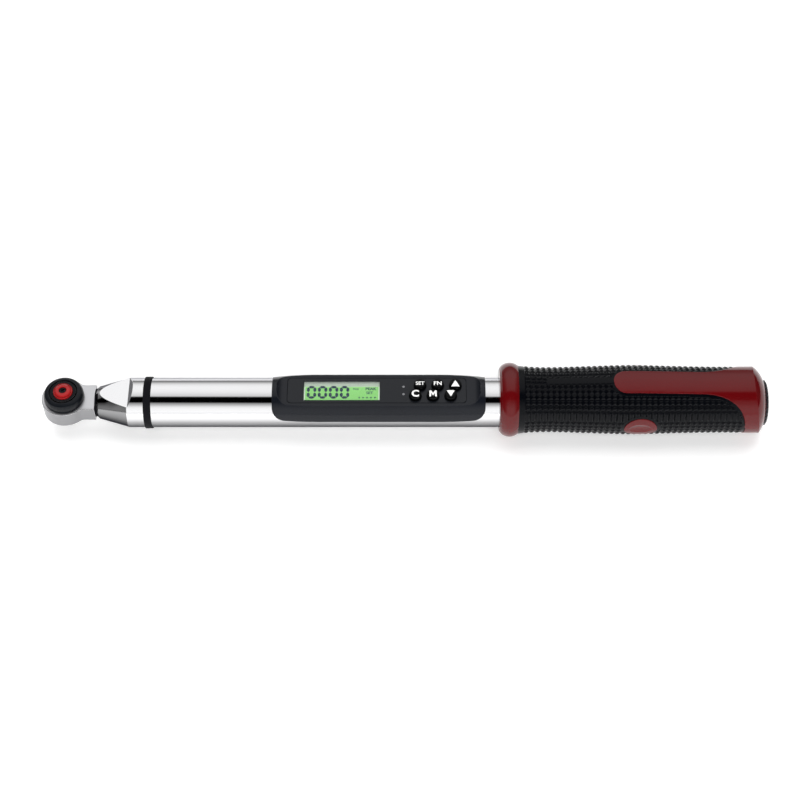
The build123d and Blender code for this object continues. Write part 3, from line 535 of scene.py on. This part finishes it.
def release_spring():
    """Coil under the button, of the size of the CAD spring."""
    middle, half = place("release_spring")
    radius, rise = half.x - SPRING_WIRE, 2 * (half.z - SPRING_WIRE)
    floor_z = middle.z - half.z
    turns = rise / SPRING_PITCH
    steps = round(turns * SPRING_STEPS)
    slope = SPRING_PITCH / (2 * pi * radius)
    bm = bmesh.new()
    rings = []
    for i in range(steps + 1):
        angle = 2 * pi * turns * i / steps
        outward = Vector((cos(angle), sin(angle), 0))
        along = Vector((-sin(angle), cos(angle), slope)).normalized()
        upward = outward.cross(along)
        centre = radius * outward + Vector((middle.x, middle.y, floor_z + SPRING_WIRE + rise * i / steps))
        spots = [2 * pi * k / SPRING_SIDES for k in range(SPRING_SIDES)]
        rings.append([bm.verts.new(centre + SPRING_WIRE * (cos(b) * outward + sin(b) * upward)) for b in spots])
    for a, b in zip(rings, rings[1:]):
        for k in range(SPRING_SIDES):
            n = (k + 1) % SPRING_SIDES
            bm.faces.new((a[k], b[k], b[n], a[n]))
    bm.faces.new(rings[0])
    bm.faces.new(rings[-1][::-1])
    made = piece("button_spring", bm, "gear", "spring_steel")
    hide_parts("release_spring")
    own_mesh(made)


# ---------------------------------------------------------------- display marks

SEGMENTS = {
    "top": ((0, 1), (1, 1)), "low": ((0, 0), (1, 0)),
    "left_up": ((0, 0.5), (0, 1)), "left_down": ((0, 0), (0, 0.5)),
    "right_up": ((1, 0.5), (1, 1)), "right_down": ((1, 0), (1, 0.5)),
}
# Millimetres: across from the module's low X, and along Y from its middle.
DIGIT_COUNT = 4
DIGIT_W, DIGIT_H, DIGIT_PITCH, SEGMENT_T = 3.3, 6.5, 5.62, 1.5
SEGMENT_GAP = 0.12
DIGITS_LEFT, DIGITS_LOW = 3.58, -3.38
WORDS = (
    ("N.m", 27.9, 2.0, 1.2, SEGMENT_FAINT),
    ("PEAK", 35.6, 2.05, 1.75, SEGMENT_BLUE),
    ("SET", 34.9, -0.5, 1.7, SEGMENT_FAINT),
)
BARS = {"count": 4, "left": 30.9, "pitch": 2.0, "run": 1.4, "y": -3.5, "thick": 1.0}
TICK = {"x": 29.6, "y": (-4.3, -2.7), "thick": 0.6}
INK_Z = (LCD_HIGH.z + 0.005 * MM, LCD_HIGH.z + 0.03 * MM)


def segment(bm, start, end, thick):
    """One bar of a digit with pointed ends."""
    (ax, ay), (bx, by) = start, end
    length = hypot(bx - ax, by - ay)
    ux, uy = (bx - ax) / length, (by - ay) / length
    half, gap = thick / 2, SEGMENT_GAP
    marks = ((gap, 0), (gap + half, half), (length - gap - half, half), (length - gap, 0),
             (length - gap - half, -half), (gap + half, -half))
    outline = [((ax + ux * s - uy * t) * MM, (ay + uy * s + ux * t) * MM) for s, t in marks]
    slab(bm, outline, *INK_Z)


def display_digits():
    """Four zeros in seven-segment style."""
    middle, half = place("lcd_module")
    left = (middle.x - half.x) / MM + DIGITS_LEFT
    low = middle.y / MM + DIGITS_LOW
    bm = bmesh.new()
    for digit in range(DIGIT_COUNT):
        x0 = left + digit * DIGIT_PITCH
        for (ax, ay), (bx, by) in SEGMENTS.values():
            start = (x0 + ax * DIGIT_W, low + ay * DIGIT_H)
            end = (x0 + bx * DIGIT_W, low + by * DIGIT_H)
            segment(bm, start, end, SEGMENT_T)
    piece("display_digits", bm, "root", "lcd_green", SEGMENT_BLUE, smooth=False)


def display_words():
    """Small generic marks: units, a mode, a state and level bars."""
    left, middle = LCD_LOW.x / MM, place("lcd_module")[0].y / MM
    for number, (text, x, y, size, ink) in enumerate(WORDS):
        bm = lettering(text, size, 1.0, 0.03)
        for v in bm.verts:
            v.co = Vector(((v.co.x + left + x) * MM, (v.co.y + middle + y) * MM, INK_Z[1]))
        piece(f"display_word_{number}", bm, "root", "lcd_green", ink, smooth=False)
    bm = bmesh.new()
    bars_y = middle + BARS["y"]
    for bar in range(BARS["count"]):
        start = left + BARS["left"] + bar * BARS["pitch"]
        segment(bm, (start, bars_y), (start + BARS["run"], bars_y), BARS["thick"])
    tick_x = left + TICK["x"]
    segment(bm, (tick_x, middle + TICK["y"][0]), (tick_x, middle + TICK["y"][1]), TICK["thick"])
    piece("display_bars", bm, "root", "lcd_green", SEGMENT_FAINT, smooth=False)


# ---------------------------------------------------------------- key legends

KEY_CROWN = ((0.0, 0.0), (1.0, 0.0), (2.35, -0.12), (2.85, -0.35), (3.1, -0.9))
LEGEND_LIFT = 0.05
LEGEND_EDGE, LEGEND_CUTS = 0.4, 3
ARROW_STEPS = 8


def crown_drop(r):
    """How far a key's top falls at a radius, in mm."""
    for (r0, z0), (r1, z1) in zip(KEY_CROWN, KEY_CROWN[1:]):
        if r <= r1:
            return z0 + (z1 - z0) * (r - r0) / (r1 - r0)
    return KEY_CROWN[-1][1]


def arrow(up, width=4.2, height=3.9):
    """A filled triangle, in rows of small faces so that it can bend over a key's crown."""
    bm = bmesh.new()
    tip = height / 2 if up else -height / 2
    corners = [(-width / 2, -tip), (width / 2, -tip), (0, tip)]
    rows = []
    for i in range(ARROW_STEPS + 1):
        t = i / ARROW_STEPS
        left = Vector(corners[0]).lerp(Vector(corners[2]), t)
        right = Vector(corners[1]).lerp(Vector(corners[2]), t)
        rows.append([left.lerp(right, k / ARROW_STEPS) for k in range(ARROW_STEPS + 1)])
    grid = [[bm.verts.new((p.x, p.y, 0)) for p in row] for row in rows[:-1]]
    for a, b in zip(grid, grid[1:]):
        for k in range(ARROW_STEPS):
            bm.faces.new((a[k], a[k + 1], b[k + 1], b[k]))
    peak = bm.verts.new((0, tip, 0))
    for k in range(ARROW_STEPS):
        bm.faces.new((grid[-1][k], grid[-1][k + 1], peak))
    return bm


def letter_m(width=3.7, height=3.8, thick=0.85):
    """A plain bold M: two uprights and two slanted strokes that meet low in the middle."""
    bm = bmesh.new()
    edge, top = width / 2, height / 2
    inner, deep = edge - thick, 1.6 * (1.15 * thick)
    valley = -0.75 * top
    strokes = (
        ((-edge, -top), (-inner, -top), (-inner, top), (-edge, top)),
        ((inner, -top), (edge, -top), (edge, top), (inner, top)),
        ((-inner, top), (-inner, top - deep), (0, valley), (0, deep + valley)),
        ((0, valley), (inner, top - deep), (inner, top), (0, deep + valley)),
    )
    for corners in strokes:
        bm.faces.new([bm.verts.new((x, y, 0)) for x, y in corners])
    return bm


def key_legends():
    """White marks laid on the keys' crowns; each rides on its key."""
    marks = {
        "key_clear": lambda: lettering("C", 4.3, 0.98, 0.035),
        "key_memory": letter_m,
        "key_down": lambda: arrow(False),
        "key_units": lambda: lettering("SET", 2.2, 0.96, 0.02),
        "key_function": lambda: lettering("FN", 2.4, 1.05, 0.02),
        "key_up": lambda: arrow(True),
    }
    for key, make in marks.items():
        middle, half = place(key)
        top = (middle.z + half.z) / MM
        bm = make()
        bmesh.ops.triangulate(bm, faces=bm.faces)
        for _ in range(LEGEND_CUTS):
            longest = [e for e in bm.edges if e.calc_length() > LEGEND_EDGE]
            bmesh.ops.subdivide_edges(bm, edges=longest, cuts=1)
            bmesh.ops.triangulate(bm, faces=bm.faces)
        for v in bm.verts:
            drop = crown_drop(hypot(v.co.x, v.co.y))
            v.co = Vector((middle.x + v.co.x * MM, middle.y + v.co.y * MM, (top + drop + LEGEND_LIFT) * MM))
        piece(key.replace("key_", "legend_"), bm, key, "key_rubber", LEGEND_WHITE, smooth=False)


# ---------------------------------------------------------------- studio

# Brightness by the light's angle in degrees about the X axis: -90 is below, 0 in front and 90 overhead.
LIGHT_BY_ANGLE = (
    (-90, 0.3), (-1, 0.8), (9, 1.0), (23, 0.93), (30, 0.8), (38, 0.55), (47, 0.32), (51, 0.2), (53.5, 0.0),
    (77.5, 0.0), (80, 0.15), (83, 0.6), (95, 0.74), (104, 0.84), (126, 0.92), (138, 0.87), (151, 0.74),
    (159, 0.5), (166, 0.3), (178, 0.2),
)
LIGHT_BY_END = ((0.3, 1.0), (0.52, 0.92), (0.66, 0.4), (0.85, 0.1))
WORLD_POWER = 1.12
PALE = 0.93
LAMP_AIM, LAMP_SIZE = (0.17, 0, 0), 1.6


def studio_world():
    """Wide soft light overhead and in front, with an unlit gap between the two; the camera sees a pale sheet."""
    world = bpy.data.worlds.new("studio")
    bpy.context.scene.world = world
    world.use_nodes = True
    tree = world.node_tree
    axes = add(tree, "SeparateXYZ", Vector=add(tree, "TexCoord").outputs["Generated"]).outputs
    front = math_node(tree, "MULTIPLY", axes[1], -1.0)
    angle = math_node(tree, "ARCTAN2", axes[2], front)
    share = add(tree, "MapRange", Value=angle)
    share.inputs["From Min"].default_value = -pi / 2
    share.inputs["From Max"].default_value = pi
    stops = [((spot + 90) / 270, level) for spot, level in LIGHT_BY_ANGLE]
    glow = ramp(tree, share.outputs[0], stops)
    across = math_node(tree, "ABSOLUTE", axes[0])
    ends = ramp(tree, across, LIGHT_BY_END)
    colour = blend(tree, 1.0, glow, ends, "MULTIPLY")
    background = tree.nodes["Background"]
    tree.links.new(colour, background.inputs["Color"])
    background.inputs["Strength"].default_value = WORLD_POWER
    backdrop = add(tree, "Background", Color=(PALE, PALE, PALE, 1), Strength=1.0)
    seen = add(tree, "MixShader", Fac=add(tree, "LightPath").outputs["Is Camera Ray"])
    tree.links.new(background.outputs[0], seen.inputs[1])
    tree.links.new(backdrop.outputs[0], seen.inputs[2])
    tree.links.new(seen.outputs[0], tree.nodes["World Output"].inputs["Surface"])


def soft_light(name, spot, power):
    """A large soft lamp that lights without showing in the chrome."""
    lamp = bpy.data.lights.new(name, "AREA")
    lamp.shape, lamp.size, lamp.energy = "DISK", LAMP_SIZE, power
    holder = bpy.data.objects.new(name, lamp)
    bpy.context.scene.collection.objects.link(holder)
    holder.location = spot
    holder.rotation_euler = (Vector(LAMP_AIM) - Vector(spot)).to_track_quat("-Z", "Y").to_euler()
    holder.visible_glossy = False


FLOOR_REACH, FLOOR_CELLS = 40.0, 40
FLOOR_GLOW = 0.2


def floor_sheet():
    """Pale matte floor under the object, lit a little from within so that shadows stay soft."""
    bm = bmesh.new()
    bmesh.ops.create_grid(bm, x_segments=FLOOR_CELLS, y_segments=FLOOR_CELLS, size=FLOOR_REACH)
    mesh = bpy.data.meshes.new("floor_sheet")
    bm.to_mesh(mesh)
    bm.free()
    made = bpy.data.objects.new("floor_sheet", mesh)
    bpy.context.scene.collection.objects.link(made)
    made.location = (0, 0, CAD_BOX[0].z)
    paint = surface("floor_paint", (PALE, PALE, PALE), 0.7, 0.0, 0.01, 2, 400, 0.01)
    glow = paint.node_tree.nodes["Principled BSDF"].inputs
    glow["Emission Color"].default_value = (1, 1, 1, 1)
    glow["Emission Strength"].default_value = FLOOR_GLOW
    mesh.materials.append(paint)


AIM = Vector((0.1721, 0.00104, 0.00076))
CAMERA_RANGE, CAMERA_UP = 0.952, 54.0
PIXELS, FOCAL_PIXELS = 800, 1850
SENSOR_MM = 36.0


def camera():
    """The camera looks along +Y and down, with the wrench lying across the frame."""
    data = bpy.data.cameras.new("camera")
    data.sensor_width = SENSOR_MM
    data.lens = data.sensor_width * FOCAL_PIXELS / PIXELS
    holder = bpy.data.objects.new("camera", data)
    bpy.context.scene.collection.objects.link(holder)
    back = Vector((0, -cos(radians(CAMERA_UP)), sin(radians(CAMERA_UP))))
    holder.location = AIM + back * CAMERA_RANGE
    holder.rotation_euler = (-back).to_track_quat("-Z", "Y").to_euler()
    bpy.context.scene.camera = holder


# ---------------------------------------------------------------- build

for row in frame["record"]["subparts"]:
    shown = frame["nodes"][row["node"]]
    shown.data.materials.clear()
    shown.data.materials.append(LOOKS[row["material_slot"]])

grip_cover()
direction_dial()
release_spring()
display_digits()
display_words()
key_legends()
studio_world()
soft_light("overhead", (0.17, 0.45, 1.3), 10.0)
soft_light("front", (0.17, -1.1, 0.8), 20.0)
floor_sheet()
camera()
bpy.context.scene.view_settings.view_transform = "Standard"
